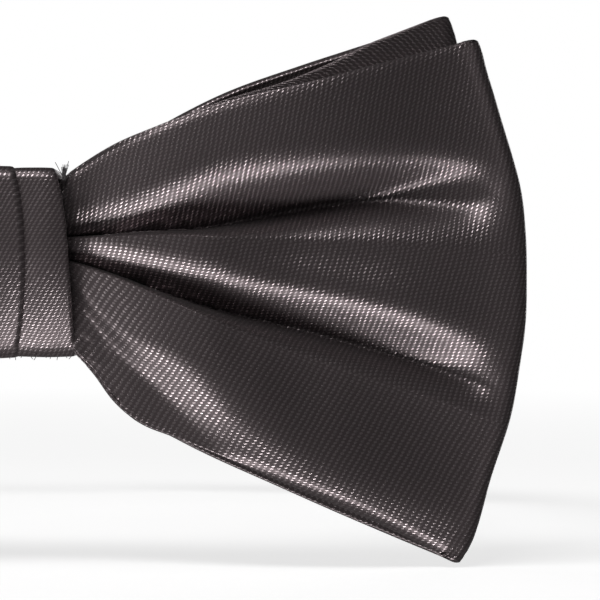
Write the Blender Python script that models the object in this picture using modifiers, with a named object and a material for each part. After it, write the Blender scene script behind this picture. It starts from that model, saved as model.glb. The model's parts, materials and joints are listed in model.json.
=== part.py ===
"""A pre-tied bow tie on an adjustable neckband, standing as it is worn.

The wearer faces -Y, +Z is up, and the origin is the middle of the knot's flat back,
where it rests against the front of the shirt collar. Lengths are in metres.
"""

import math

import bmesh
import bpy
import numpy as np
from mathutils import Vector

MM = 0.001

# Room left between neighbouring pieces.
GAP = 0.3 * MM

# Cloth, stiffening and thread thicknesses.
LEAF_THICKNESS = 0.8 * MM
INTERLINING_THICKNESS = 0.4 * MM
WRAP_THICKNESS = 1.1 * MM
BAND_THICKNESS = 1.0 * MM
THREAD_DIAMETER = 0.6 * MM
THREAD_CORNER_RADIUS = 0.7 * MM
STITCH_DIAMETER = 0.4 * MM

# The front bow, seen from the front. The back bow has its own outline.
FRONT_BOW = {
    "half_width": 60.0 * MM,
    "corner_x_top": 54.5 * MM,
    "corner_x_bottom": 52.3 * MM,
    "corner_z_top": 24.7 * MM,
    "corner_z_bottom": -33.3 * MM,
    "puff": 4.5 * MM,
    "puff_power": 0.7,
    "fold_radius": 1.5 * MM,
}
BACK_BOW = {
    "half_width": 56.5 * MM,
    "corner_x_top": 51.4 * MM,
    "corner_x_bottom": 49.5 * MM,
    "corner_z_top": 27.4 * MM,
    "corner_z_bottom": -30.5 * MM,
    "puff": 3.2 * MM,
    "puff_power": 1.0,
    "fold_radius": 1.3 * MM,
}
FLARE_POWER = 0.78
PLEAT_HEIGHT = 2.4 * MM
INTERLINING_INSET = 1.8 * MM

# The knot: the band of cloth wrapped round the waists of both bows.
KNOT_ROOM = 1.25 * MM  # between the neckband's edges and the inside of the knot
KNOT_HALF_WIDTH_TOP = 8.0 * MM
KNOT_HALF_WIDTH_BOTTOM = 10.0 * MM
KNOT_CORNER_RADIUS = 2.2 * MM
KNOT_PANEL_HALF_WIDTH = 4.2 * MM
KNOT_PANEL_RISE = 0.8 * MM

# The neckband, measured along the middle of its thickness.
BAND_HEIGHT = 16.0 * MM
NECK_HALF_WIDTH = 60.0 * MM
NECK_FRONT_DEPTH = 64.0 * MM
STRAIGHT_PAST_KNOT = 1.08 * MM  # how far the band runs straight past each side of the knot
BAND_FRONT_HALF = 70.0 * MM
SWING_CLEARANCE = 1.0 * MM

# The slide, the hook and the eye.
METAL_THICKNESS = 0.8 * MM
RAIL_WIDTH = 1.6 * MM
RAIL_CLEARANCE = 0.4 * MM
SLIDER_LENGTH = 12.0 * MM
SLIDER_BAR_WIDTH = 1.8 * MM
SLIDER_FROM_HOOK = 39.3 * MM
RIBBON_SLOT = 2.8 * MM
HOOK_LENGTH = 12.0 * MM
HOOK_TONGUE_WIDTH = 6.0 * MM
HOOK_BEND_RADIUS = 1.2 * MM
EYE_OPENING_LENGTH = 6.0 * MM
EYE_OPENING_HEIGHT = 11.0 * MM
EYE_RIM = 2.0 * MM
CLASP_GAP = 0.5 * MM
SHORT_BAND_TURN_BACK = 15.0 * MM

# Layers through the knot, from its flat back towards the front.
KNOT_BACK_Y = 0.0
BAND_Y = KNOT_BACK_Y - WRAP_THICKNESS - 0.4 * MM - BAND_THICKNESS / 2
THREAD_BACK_Y = BAND_Y - BAND_THICKNESS / 2 - GAP - THREAD_DIAMETER / 2
LEAF_STEP = (LEAF_THICKNESS + INTERLINING_THICKNESS) / 2 + GAP
BACK_BOW_REAR_Y = THREAD_BACK_Y - THREAD_DIAMETER / 2 - GAP - LEAF_THICKNESS / 2
BACK_BOW_LINING_Y = BACK_BOW_REAR_Y - LEAF_STEP
BACK_BOW_FRONT_Y = BACK_BOW_LINING_Y - LEAF_STEP
FRONT_BOW_REAR_Y = BACK_BOW_FRONT_Y - LEAF_THICKNESS - GAP
FRONT_BOW_LINING_Y = FRONT_BOW_REAR_Y - LEAF_STEP
FRONT_BOW_FRONT_Y = FRONT_BOW_LINING_Y - LEAF_STEP
THREAD_FRONT_Y = FRONT_BOW_FRONT_Y - LEAF_THICKNESS / 2 - 1.0 * MM - THREAD_DIAMETER / 2
KNOT_FRONT_Y = THREAD_FRONT_Y - THREAD_DIAMETER / 2 - GAP - WRAP_THICKNESS

# Heights of the layers inside the knot.
KNOT_INNER_HALF = BAND_HEIGHT / 2 + KNOT_ROOM
KNOT_HEIGHT = 2 * (KNOT_INNER_HALF + WRAP_THICKNESS)
THREAD_HALF_HEIGHT = KNOT_INNER_HALF - GAP - THREAD_DIAMETER / 2
WAIST_HALF_HEIGHT = THREAD_HALF_HEIGHT - THREAD_DIAMETER / 2 - GAP

SATIN = (0.045, 0.038, 0.040)
CLOTHES_LINING = (0.60, 0.58, 0.54)
THREAD = (0.030, 0.027, 0.028)
NICKEL = (0.62, 0.61, 0.59)


def clear_scene():
    for old in list(bpy.data.objects):
        bpy.data.objects.remove(old, do_unlink=True)


def material(name, colour, roughness, metallic=0.0):
    made = bpy.data.materials.new(name)
    made.use_nodes = True
    shader = made.node_tree.nodes["Principled BSDF"]
    shader.inputs["Base Color"].default_value = (*colour, 1.0)
    shader.inputs["Roughness"].default_value = roughness
    shader.inputs["Metallic"].default_value = metallic
    made.diffuse_color = (*colour, 1.0)
    return made


def place_object(name, data, collection, finish):
    made = bpy.data.objects.new(name, data)
    collection.objects.link(made)
    data.materials.append(finish)
    return made


def solidify(piece, thickness):
    shell = piece.modifiers.new("thickness", "SOLIDIFY")
    shell.thickness = thickness
    shell.offset = 0.0
    shell.use_even_offset = True


def mapped_grid(name, columns, rows, place, collection, finish, thickness):
    """A grid whose corners go where place(u, v) says, with both ends of u welded."""
    mesh = bpy.data.meshes.new(name)
    builder = bmesh.new()
    bmesh.ops.create_grid(builder, x_segments=columns, y_segments=rows, size=0.5)
    for corner in builder.verts:
        corner.co = Vector(place(corner.co.x + 0.5, corner.co.y + 0.5))
    bmesh.ops.remove_doubles(builder, verts=builder.verts, dist=0.01 * MM)
    bmesh.ops.recalc_face_normals(builder, faces=builder.faces)
    builder.to_mesh(mesh)
    builder.free()
    mesh.shade_smooth()
    made = place_object(name, mesh, collection, finish)
    solidify(made, thickness)
    return made


def poly_curve(name, points):
    data = bpy.data.curves.new(name, "CURVE")
    data.dimensions = "3D"
    spline = data.splines.new("POLY")
    spline.points.add(len(points) - 1)
    for slot, point in zip(spline.points, points):
        slot.co = (*point, 1.0)
    return data


def ribbon(name, points, height, thickness, collection, finish):
    """A strip standing on edge along a level path, from a curve extruded up and down."""
    data = poly_curve(name, points)
    data.extrude = height / 2
    made = place_object(name, data, collection, finish)
    solidify(made, thickness)
    return made


def thread(name, points, diameter, collection, finish):
    data = poly_curve(name, points)
    data.bevel_depth = diameter / 2
    data.bevel_resolution = 1
    data.use_fill_caps = True
    return place_object(name, data, collection, finish)


def plate(name, outlines, thickness, collection, finish):
    """A flat outline, with any further outlines cut out of it, as thick as asked."""
    data = bpy.data.curves.new(name, "CURVE")
    data.dimensions = "2D"
    data.fill_mode = "BOTH"
    data.extrude = thickness / 2
    for outline in outlines:
        spline = data.splines.new("POLY")
        spline.points.add(len(outline) - 1)
        for slot, (x, y) in zip(spline.points, outline):
            slot.co = (x, y, 0.0, 1.0)
        spline.use_cyclic_u = True
    return place_object(name, data, collection, finish)


def as_mesh(piece):
    """The same object as a mesh, with a curve's loose caps welded to its sides."""
    graph = bpy.context.evaluated_depsgraph_get()
    mesh = bpy.data.meshes.new_from_object(piece.evaluated_get(graph))
    builder = bmesh.new()
    builder.from_mesh(mesh)
    bmesh.ops.remove_doubles(builder, verts=builder.verts, dist=0.005 * MM)
    builder.to_mesh(mesh)
    builder.free()
    made = bpy.data.objects.new(piece.name + "_mesh", mesh)
    made.matrix_world = piece.matrix_world
    collection = piece.users_collection[0]
    name = piece.name
    bpy.data.objects.remove(piece, do_unlink=True)
    collection.objects.link(made)
    made.name = name
    return made


def box(name, size, centre, collection):
    bpy.ops.mesh.primitive_cube_add(size=1.0, location=centre)
    made = bpy.context.object
    made.name = name
    for corner in made.data.vertices:
        corner.co = Vector(a * b for a, b in zip(corner.co, size))
    for old in list(made.users_collection):
        old.objects.unlink(made)
    collection.objects.link(made)
    return made


def join(base, others, cutters):
    """Adds the others to the base with Boolean unions, and keeps them as hidden cutters."""
    for other in others:
        union = base.modifiers.new("join " + other.name, "BOOLEAN")
        union.operation = "UNION"
        union.object = other
        hide_cutter(other, cutters)


def hide_cutter(piece, cutters):
    for old in list(piece.users_collection):
        old.objects.unlink(piece)
    cutters.objects.link(piece)
    piece.hide_render = True
    piece.display_type = "WIRE"


def round_edges(piece, width, segments=1):
    bevel = piece.modifiers.new("edges", "BEVEL")
    bevel.width = width
    bevel.segments = segments
    bevel.limit_method = "ANGLE"
    bevel.angle_limit = math.radians(40)


# ---- The bows ----


def blend(low, high, share):
    return low + (high - low) * share


def tip_x(bow, v):
    """How far out the tip fold lies, v running from -1 at the bottom corner to 1 at the top."""
    corner = blend(bow["corner_x_bottom"], bow["corner_x_top"], (v + 1) / 2)
    middle = (bow["corner_x_bottom"] + bow["corner_x_top"]) / 2
    return corner + (bow["half_width"] - middle) * (1 - v * v)


def knot_half_width(share):
    """Half the knot's width, the share running from 0 at its bottom to 1 at its top."""
    return blend(KNOT_HALF_WIDTH_BOTTOM, KNOT_HALF_WIDTH_TOP, share)


def flare(bow, x, v):
    """0 inside the knot, rising to 1 at the tip fold."""
    start = knot_half_width((v + 1) / 2)
    return min(max((abs(x) - start) / (tip_x(bow, v) - start), 0.0), 1.0)


def bow_z(bow, x, v):
    waist = WAIST_HALF_HEIGHT * v
    tip = blend(bow["corner_z_bottom"], bow["corner_z_top"], (v + 1) / 2)
    return blend(waist, tip, flare(bow, x, v) ** FLARE_POWER)


def pleats(v, share):
    """The three rounded folds of the front leaf, deepest a third of the way out."""
    upper = blend(0.27, 0.21, share)
    lower = blend(0.0, -0.39, share**0.6)
    edges = (-1.0, lower, upper, 1.0)
    for start, end in zip(edges, edges[1:]):
        if start <= v <= end:
            crown = math.sin(math.pi * (v - start) / (end - start))
            return crown * PLEAT_HEIGHT * math.sin(math.pi * share**0.5) * (1 - 0.3 * share)
    return 0.0


def loop_place(u, puffed_steps, fold_steps, flat_steps):
    """Where a share u of the way round a bow's loop lies: its side, leaf, step and steps."""
    steps = puffed_steps + fold_steps + flat_steps
    place = u * 2 * steps
    side = 1
    if place > steps:
        side = -1
        place = 2 * steps - place
    if place <= puffed_steps:
        return side, "puffed", place, puffed_steps
    if place <= puffed_steps + fold_steps:
        return side, "fold", place - puffed_steps, fold_steps
    return side, "flat", steps - place, flat_steps


def leaf_x(step, steps, start, end):
    """The first step reaches the knot's edge, and the others share the way to the fold."""
    if step <= 1:
        return start * step
    return blend(start, end, (step - 1) / (steps - 1))


def bow_surface(bow, flat_y, towards, flat_gap, pleated, steps):
    """A function of (u, v) giving the middle of the cloth of one bow's loop.

    One leaf is flat at flat_y. The other stands off it by flat_gap at the waist, puffs
    out in the direction towards (-1 is the front) and meets it in a round fold.
    """

    def place(u, v):
        height = 2 * v - 1
        side, leaf, step, step_count = loop_place(u, *steps)
        radius = bow["fold_radius"]
        straight = tip_x(bow, height) - radius
        if leaf == "fold":
            turn = math.pi * step / step_count
            x = straight + radius * math.sin(turn)
            depth = radius * (1 + math.cos(turn))
        else:
            x = leaf_x(step, step_count, knot_half_width(v), straight)
            depth = 0.0
        if leaf == "puffed":
            start = KNOT_HALF_WIDTH_BOTTOM
            out = min(max((x - start) / (straight - start), 0.0), 1.0)
            depth = blend(flat_gap, 2 * radius, out)
            depth += bow["puff"] * math.sin(math.pi * out ** bow["puff_power"])
            if pleated:
                depth += pleats(height, out)
        return (side * x, flat_y + towards * depth, bow_z(bow, x, height))

    return place


def lining_outline(bow, steps=14):
    """The stiffening's flat outline in X and Z, inside the bow's by the inset."""
    right = []
    reach = 1 - 2 * INTERLINING_INSET / (bow["corner_z_top"] - bow["corner_z_bottom"])
    for v in (reach, -reach):
        edge = []
        out = tip_x(bow, v) - 2 * bow["fold_radius"] - INTERLINING_INSET
        for i in range(steps + 1):
            x = out * i / steps
            edge.append((x, bow_z(bow, x, v) * (1 - 0.4 * MM / WAIST_HALF_HEIGHT)))
        right.append(edge)
    top, bottom = right
    tip = []
    for i in range(1, steps):
        v = blend(reach, -reach, i / steps)
        x = tip_x(bow, v) - 2 * bow["fold_radius"] - INTERLINING_INSET
        tip.append((x, bow_z(bow, x, v)))
    half = top + tip + bottom[::-1]
    return half + [(-x, z) for x, z in half[::-1][1:-1]]


def make_bow(name, bow, flat_y, towards, flat_gap, pleated, rows, steps, collection, finish):
    columns = 2 * sum(steps)
    surface = bow_surface(bow, flat_y, towards, flat_gap, pleated, steps)
    return mapped_grid(name, columns, rows, surface, collection, finish, LEAF_THICKNESS)


def make_lining(name, bow, y, collection, finish):
    piece = plate(name, [lining_outline(bow)], INTERLINING_THICKNESS, collection, finish)
    piece.rotation_euler = (math.radians(90), 0.0, 0.0)
    piece.location = (0.0, y, 0.0)
    return piece


# ---- The knot ----


def rounded_rectangle(half_depth, half_height, radius, corner_steps=4, side_steps=3):
    """Points round a rectangle with round corners, in (depth, height), anticlockwise."""
    points = []
    corners = ((1, 1, 0), (-1, 1, 90), (-1, -1, 180), (1, -1, 270))
    for across, up, start in corners:
        centre = (across * (half_depth - radius), up * (half_height - radius))
        for i in range(corner_steps + 1):
            turn = math.radians(start + 90 * i / corner_steps)
            points.append((centre[0] + radius * math.cos(turn), centre[1] + radius * math.sin(turn)))
    full = []
    for here, after in zip(points, points[1:] + points[:1]):
        long_side = math.dist(here, after) > 2 * radius
        parts = side_steps if long_side else 1
        for i in range(parts):
            full.append((blend(here[0], after[0], i / parts), blend(here[1], after[1], i / parts)))
    return full


def make_knot(collection, finish):
    middle_half_depth = (KNOT_BACK_Y - KNOT_FRONT_Y - WRAP_THICKNESS) / 2
    middle_y = (KNOT_BACK_Y + KNOT_FRONT_Y) / 2
    middle_half_height = (KNOT_HEIGHT - WRAP_THICKNESS) / 2
    path = rounded_rectangle(middle_half_depth, middle_half_height, KNOT_CORNER_RADIUS)
    path.append(path[0])
    columns = len(path) - 1

    def place(u, v):
        depth, z = path[round(u * columns)]
        share = z / (2 * middle_half_height) + 0.5
        x = knot_half_width(share) * (2 * v - 1)
        forward = max(-depth / middle_half_depth, 0.0)
        slope = (KNOT_PANEL_HALF_WIDTH + 0.6 * MM - abs(x)) / (0.6 * MM)
        rise = KNOT_PANEL_RISE * min(max(slope, 0.0), 1.0) * forward
        return (x, middle_y + depth - rise, z)

    return mapped_grid("knot_wrap", columns, 10, place, collection, finish, WRAP_THICKNESS)


def make_binding_thread(collection, finish, turns=4, pitch=1.0 * MM):
    half_depth = (THREAD_BACK_Y - THREAD_FRONT_Y) / 2
    middle_y = (THREAD_BACK_Y + THREAD_FRONT_Y) / 2
    ring = rounded_rectangle(half_depth, THREAD_HALF_HEIGHT, THREAD_CORNER_RADIUS, 2, 2)
    points = []
    count = turns * len(ring)
    for i in range(count + 1):
        depth, z = ring[i % len(ring)]
        points.append(((i / count - 0.5) * turns * pitch, middle_y + depth, z))
    return thread("waist_binding_thread", points, THREAD_DIAMETER, collection, finish)


def make_knot_seam(collection, finish, stitches=9):
    """One thread zigzagging down the join at the back of the knot."""
    y = KNOT_BACK_Y + GAP + STITCH_DIAMETER / 2
    half = 6.0 * MM
    points = []
    for i in range(stitches + 1):
        side = 1.2 * MM if i % 2 else -1.2 * MM
        points.append((side, y, half - 2 * half * i / stitches))
    return thread("knot_seam_thread", points, STITCH_DIAMETER, collection, finish)


# ---- The neckband ----

STRAIGHT_SHARE = (KNOT_HALF_WIDTH_BOTTOM + STRAIGHT_PAST_KNOT) / NECK_HALF_WIDTH
NECK_FLATTENING = NECK_FRONT_DEPTH * (1 - math.sqrt(1 - STRAIGHT_SHARE**2))
NECK_CENTRE_Y = BAND_Y - NECK_FLATTENING + NECK_FRONT_DEPTH


def neck_table(samples=1440):
    """The neckband's middle line from the knot round its right side to the back: lengths, x and y."""
    turn = np.linspace(0.0, math.pi, samples)
    depth = np.where(turn < math.pi / 2, NECK_FRONT_DEPTH, NECK_HALF_WIDTH)
    x = NECK_HALF_WIDTH * np.sin(turn)
    y = NECK_CENTRE_Y - depth * np.cos(turn)
    soft = 0.4 * MM
    y = (y + BAND_Y + np.hypot(y - BAND_Y, soft)) / 2
    steps = np.hypot(np.diff(x), np.diff(y))
    return np.concatenate([[0.0], np.cumsum(steps)]), x, y


NECK_LENGTHS, NECK_X, NECK_Y = neck_table()
NECK_HALF_LENGTH = float(NECK_LENGTHS[-1])


def neck_point(distance):
    """A point on the middle line, a signed distance from the knot's middle (+ is the right side)."""
    side = -1.0 if distance < 0 else 1.0
    x = float(np.interp(abs(distance), NECK_LENGTHS, NECK_X))
    y = float(np.interp(abs(distance), NECK_LENGTHS, NECK_Y))
    return Vector((side * x, y, 0.0))


def neck_heading(distance):
    """The direction along the band, away from the knot."""
    step = 0.5 * MM
    side = -1.0 if distance < 0 else 1.0
    inner = abs(distance) - step
    ahead = neck_point(side * min(abs(distance) + step, NECK_HALF_LENGTH))
    return (ahead - neck_point(side * inner)).normalized()


def outward(distance):
    """The direction away from the neck, square to the band."""
    heading = neck_heading(distance)
    side = -1.0 if distance < 0 else 1.0
    return Vector((heading.y, -heading.x, 0.0)) * side


def offset_point(distance, offset):
    return neck_point(distance) + outward(distance) * offset


def run(start, end, offsets, spacing=5.0 * MM):
    """Points along the band from start to end, with an offset that goes evenly between two values."""
    count = max(2, math.ceil(abs(end - start) / spacing))
    first, last = offsets
    points = []
    for i in range(count + 1):
        share = i / count
        eased = share * share * (3 - 2 * share)
        points.append(offset_point(blend(start, end, share), blend(first, last, eased)))
    return points


def turn_round(centre, from_side, heading, radius, steps=6):
    """Half a turn of ribbon round a bar, passing the bar on the side that heading points to."""
    points = []
    for i in range(1, steps):
        angle = math.pi * i / steps
        points.append(centre + from_side * (radius * math.cos(angle)) + heading * (radius * math.sin(angle)))
    return points


BAR_WRAP_RADIUS = METAL_THICKNESS / 2 + GAP + BAND_THICKNESS / 2
HOOK_BAR_DISTANCE = NECK_HALF_LENGTH - HOOK_LENGTH - CLASP_GAP / 2
EYE_LENGTH = RIBBON_SLOT + METAL_THICKNESS / 2 + EYE_RIM + EYE_OPENING_LENGTH + EYE_RIM
EYE_BAR_DISTANCE = -(NECK_HALF_LENGTH - EYE_LENGTH - CLASP_GAP / 2)
SLIDER_POSITION = HOOK_BAR_DISTANCE - SLIDER_FROM_HOOK
TAIL_REST_OFFSET = -(BAND_THICKNESS + 0.4 * MM)
TAIL_START = HOOK_BAR_DISTANCE - 3.0 * MM
SLIDER_BAR_OFFSET = -(BAND_THICKNESS * 1.5 + METAL_THICKNESS / 2 + 2 * GAP)
HARDWARE_HALF_HEIGHT = BAND_HEIGHT / 2 + RAIL_CLEARANCE + RAIL_WIDTH


def bar_centre(distance):
    return offset_point(distance, -BAR_WRAP_RADIUS)


def make_neckband(collection, finish):
    front = run(-BAND_FRONT_HALF, BAND_FRONT_HALF, (0.0, 0.0))
    ribbon("neckband_front", front, BAND_HEIGHT, BAND_THICKNESS, collection, finish)

    start = BAND_FRONT_HALF + SWING_CLEARANCE
    long_side = run(start, HOOK_BAR_DISTANCE, (0.0, 0.0))
    away = outward(HOOK_BAR_DISTANCE)
    heading = neck_heading(HOOK_BAR_DISTANCE)
    long_side += turn_round(bar_centre(HOOK_BAR_DISTANCE), away, heading, BAR_WRAP_RADIUS)
    long_side += run(HOOK_BAR_DISTANCE, TAIL_START + GAP, (-2 * BAR_WRAP_RADIUS,) * 2)
    ribbon("neckband_long", long_side, BAND_HEIGHT, BAND_THICKNESS, collection, finish)

    short_side = run(-start, EYE_BAR_DISTANCE, (0.0, 0.0))
    away = outward(EYE_BAR_DISTANCE)
    heading = neck_heading(EYE_BAR_DISTANCE)
    short_side += turn_round(bar_centre(EYE_BAR_DISTANCE), away, heading, BAR_WRAP_RADIUS)
    end = EYE_BAR_DISTANCE + SHORT_BAND_TURN_BACK
    short_side += run(EYE_BAR_DISTANCE, end, (-2 * BAR_WRAP_RADIUS, TAIL_REST_OFFSET), 3.0 * MM)
    ribbon("neckband_short", short_side, BAND_HEIGHT, BAND_THICKNESS, collection, finish)


def make_tail(collection, finish):
    """The end of the long band, doubled back from the hook and looped round the slide's middle bar."""
    radius = BAR_WRAP_RADIUS
    inner = SLIDER_BAR_OFFSET - radius
    points = run(TAIL_START, TAIL_START - 12 * MM, (-2 * radius, TAIL_REST_OFFSET), 3.0 * MM)
    near_slider = SLIDER_POSITION + 14 * MM
    points += run(TAIL_START - 12 * MM, near_slider, (TAIL_REST_OFFSET,) * 2)[1:]
    points += run(near_slider, SLIDER_POSITION, (TAIL_REST_OFFSET, inner), 3.0 * MM)[1:]
    bar = offset_point(SLIDER_POSITION, SLIDER_BAR_OFFSET)
    inward = -outward(SLIDER_POSITION)
    points += turn_round(bar, inward, -neck_heading(SLIDER_POSITION), radius)
    points += run(SLIDER_POSITION, SLIDER_POSITION + 3.0 * MM, (SLIDER_BAR_OFFSET + radius,) * 2, 3.0 * MM)
    return ribbon("neckband_tail", points, BAND_HEIGHT, BAND_THICKNESS, collection, finish)


def zigzag(name, distance, offset, collection, finish, stitches=14):
    """A tack of zigzag stitches up the height of the band, lying on one of its faces."""
    half = BAND_HEIGHT / 2 - 1.0 * MM
    points = []
    for i in range(stitches + 1):
        along = 0.8 * MM if i % 2 else -0.8 * MM
        point = offset_point(distance + along, offset)
        point.z = -half + 2 * half * i / stitches
        points.append(point)
    return thread(name, points, STITCH_DIAMETER, collection, finish)


# ---- The slide, hook and eye ----


def stand_along(piece, distance, offset):
    """Puts a piece made in (along, outward, up) on the band, its own +X pointing away from the knot."""
    heading = neck_heading(distance)
    piece.location = offset_point(distance, offset)
    piece.rotation_euler = (0.0, 0.0, math.atan2(heading.y, heading.x))


def stand_plate(piece, distance, offset):
    """As stand_along, for a plate drawn in (along, up)."""
    stand_along(piece, distance, offset)
    piece.rotation_euler[0] = math.radians(90)


def make_slider(collection, cutters, finish):
    depth = BAND_THICKNESS / 2 + GAP
    height = BAND_HEIGHT + 2 * RAIL_CLEARANCE
    proud = 0.1 * MM  # the rails stand this far past the bars that they hold
    inner_face = SLIDER_BAR_OFFSET - METAL_THICKNESS / 2 - proud
    outer_face = depth + METAL_THICKNESS + proud
    rail_depth = outer_face - inner_face
    rail_z = height / 2 + RAIL_WIDTH / 2
    rail_size = (SLIDER_LENGTH, rail_depth, RAIL_WIDTH)
    bar_height = height + RAIL_WIDTH
    bar_size = (SLIDER_BAR_WIDTH, METAL_THICKNESS, bar_height)
    bar_x = (SLIDER_LENGTH - SLIDER_BAR_WIDTH) / 2 - proud
    outer_y = depth + METAL_THICKNESS / 2
    base = box("size_slider", rail_size, (0, (outer_face + inner_face) / 2, rail_z), collection)
    lower = box("slider_lower_rail", rail_size, (0, (outer_face + inner_face) / 2, -rail_z), collection)
    near = box("slider_near_bar", bar_size, (-bar_x, outer_y, 0), collection)
    far = box("slider_far_bar", bar_size, (bar_x, outer_y, 0), collection)
    middle_size = (METAL_THICKNESS, METAL_THICKNESS, bar_height)
    middle = box("slider_middle_bar", middle_size, (0, SLIDER_BAR_OFFSET, 0), collection)
    base.data.materials.append(finish)
    pieces = (base, lower, near, far, middle)
    for piece in pieces:
        for corner in piece.data.vertices:
            corner.co += piece.location
            # Outward is this frame's -Y on the long side.
            corner.co.y = -corner.co.y
        piece.data.flip_normals()
        stand_along(piece, SLIDER_POSITION, 0.0)
    join(base, pieces[1:], cutters)
    round_edges(base, 0.2 * MM)
    return base


def rectangle(low_x, high_x, half_height):
    return [(low_x, -half_height), (high_x, -half_height), (high_x, half_height), (low_x, half_height)]


def rounded(points, radius, steps=3):
    """The same outline with each corner replaced by a short curve."""
    smooth = []
    count = len(points)
    for i, corner in enumerate(points):
        here = Vector(corner)
        before = Vector(points[i - 1]) - here
        after = Vector(points[(i + 1) % count]) - here
        cut = min(radius, before.length * 0.45, after.length * 0.45)
        start = here + before.normalized() * cut
        end = here + after.normalized() * cut
        for j in range(steps + 1):
            share = j / steps
            smooth.append(tuple(start.lerp(here, share).lerp(here.lerp(end, share), share)))
    return smooth


def make_hook(collection, cutters, finish):
    """A stamped plate with a slot for the band, ending in a tongue bent back on itself."""
    half = METAL_THICKNESS / 2
    slot_end = half + RIBBON_SLOT
    tongue = HOOK_TONGUE_WIDTH / 2
    bend_x = HOOK_LENGTH - HOOK_BEND_RADIUS - half
    shoulder = slot_end + 1.6 * MM
    rail = HARDWARE_HALF_HEIGHT
    outline = [
        (-half, -rail),
        (shoulder, -rail),
        (shoulder + 2.0 * MM, -tongue),
        (bend_x, -tongue),
        (bend_x, tongue),
        (shoulder + 2.0 * MM, tongue),
        (shoulder, rail),
        (-half, rail),
    ]
    slot = rectangle(half, slot_end, BAND_HEIGHT / 2 + RAIL_CLEARANCE)
    base = plate("hook", [rounded(outline, 1.0 * MM), rounded(slot, 0.3 * MM)], METAL_THICKNESS, collection, finish)
    stand_plate(base, HOOK_BAR_DISTANCE, -BAR_WRAP_RADIUS)
    bpy.context.view_layer.update()
    base = as_mesh(base)
    bend = []
    steps = 8
    for i in range(steps + 1):
        turn = math.pi * i / steps
        x = bend_x + HOOK_BEND_RADIUS * math.sin(turn)
        bend.append((x, -HOOK_BEND_RADIUS * (1 - math.cos(turn)), 0.0))
    bend.insert(0, (bend_x - 1.0 * MM, 0.0, 0.0))
    bend.append((bend_x - 2.5 * MM, -2 * HOOK_BEND_RADIUS - 0.2 * MM, 0.0))
    narrow = 2 * tongue - 0.4 * MM
    strip = ribbon("hook_tongue", bend, narrow, METAL_THICKNESS, collection, finish)
    stand_along(strip, HOOK_BAR_DISTANCE, -BAR_WRAP_RADIUS)
    bpy.context.view_layer.update()
    strip = as_mesh(strip)
    join(base, [strip], cutters)
    return base


def make_eye(collection, finish):
    """A stamped plate with a slot for the band and a window that takes the hook's tongue."""
    half = METAL_THICKNESS / 2
    slot_end = half + RIBBON_SLOT
    window_start = slot_end + EYE_RIM
    window_end = window_start + EYE_OPENING_LENGTH
    rail = HARDWARE_HALF_HEIGHT
    end_half = EYE_OPENING_HEIGHT / 2 + EYE_RIM
    outline = [
        (-half, -rail),
        (window_start, -rail),
        (window_start + 1.5 * MM, -end_half),
        (window_end + EYE_RIM, -end_half),
        (window_end + EYE_RIM, end_half),
        (window_start + 1.5 * MM, end_half),
        (window_start, rail),
        (-half, rail),
    ]
    slot = rounded(rectangle(half, slot_end, BAND_HEIGHT / 2 + RAIL_CLEARANCE), 0.3 * MM)
    window = rounded(rectangle(window_start, window_end, EYE_OPENING_HEIGHT / 2), 1.0 * MM)
    piece = plate("eye", [rounded(outline, 1.0 * MM), slot, window], METAL_THICKNESS, collection, finish)
    stand_plate(piece, EYE_BAR_DISTANCE, -BAR_WRAP_RADIUS)
    return piece


def make_bow_tie():
    parts = bpy.data.collections.new("bow_tie")
    cutters = bpy.data.collections.new("cutters")
    bpy.context.scene.collection.children.link(parts)
    bpy.context.scene.collection.children.link(cutters)

    front_satin = material("front_bow_satin", SATIN, 0.42)
    back_satin = material("back_bow_satin", SATIN, 0.45)
    front_lining = material("front_bow_stiffening", CLOTHES_LINING, 0.9)
    back_lining = material("back_bow_stiffening", CLOTHES_LINING, 0.92)
    knot_satin = material("knot_satin", SATIN, 0.40)
    band_satin = material("neckband_satin", SATIN, 0.5)
    binding = material("binding_thread", THREAD, 0.7)
    sewing = material("sewing_thread", THREAD, 0.6)
    nickel = material("nickel_plate", NICKEL, 0.25, 1.0)
    slider_nickel = material("slider_nickel", NICKEL, 0.3, 1.0)

    front_gap = FRONT_BOW_REAR_Y - FRONT_BOW_FRONT_Y
    back_gap = BACK_BOW_REAR_Y - BACK_BOW_FRONT_Y
    make_bow("front_bow", FRONT_BOW, FRONT_BOW_REAR_Y, -1, front_gap, True, 15, (12, 4, 8), parts, front_satin)
    make_bow("back_bow", BACK_BOW, BACK_BOW_FRONT_Y, 1, back_gap, False, 6, (9, 4, 7), parts, back_satin)
    make_lining("front_bow_interlining", FRONT_BOW, FRONT_BOW_LINING_Y, parts, front_lining)
    make_lining("back_bow_interlining", BACK_BOW, BACK_BOW_LINING_Y, parts, back_lining)

    make_binding_thread(parts, binding)
    make_knot(parts, knot_satin)
    make_knot_seam(parts, sewing)

    make_neckband(parts, band_satin)
    make_tail(parts, band_satin)
    outer_face = BAND_THICKNESS / 2 + GAP + STITCH_DIAMETER / 2
    tail_face = SLIDER_BAR_OFFSET - BAR_WRAP_RADIUS - outer_face
    zigzag("slider_bar_tack", SLIDER_POSITION + 4 * MM, tail_face, parts, sewing)
    zigzag("short_band_tack", EYE_BAR_DISTANCE + 11 * MM, outer_face, parts, sewing)

    make_slider(parts, cutters, slider_nickel)
    make_hook(parts, cutters, nickel)
    make_eye(parts, nickel)


clear_scene()
make_bow_tie()
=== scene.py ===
import json
import math

import bmesh
import bpy
import numpy as np
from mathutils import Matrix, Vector, noise


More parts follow.
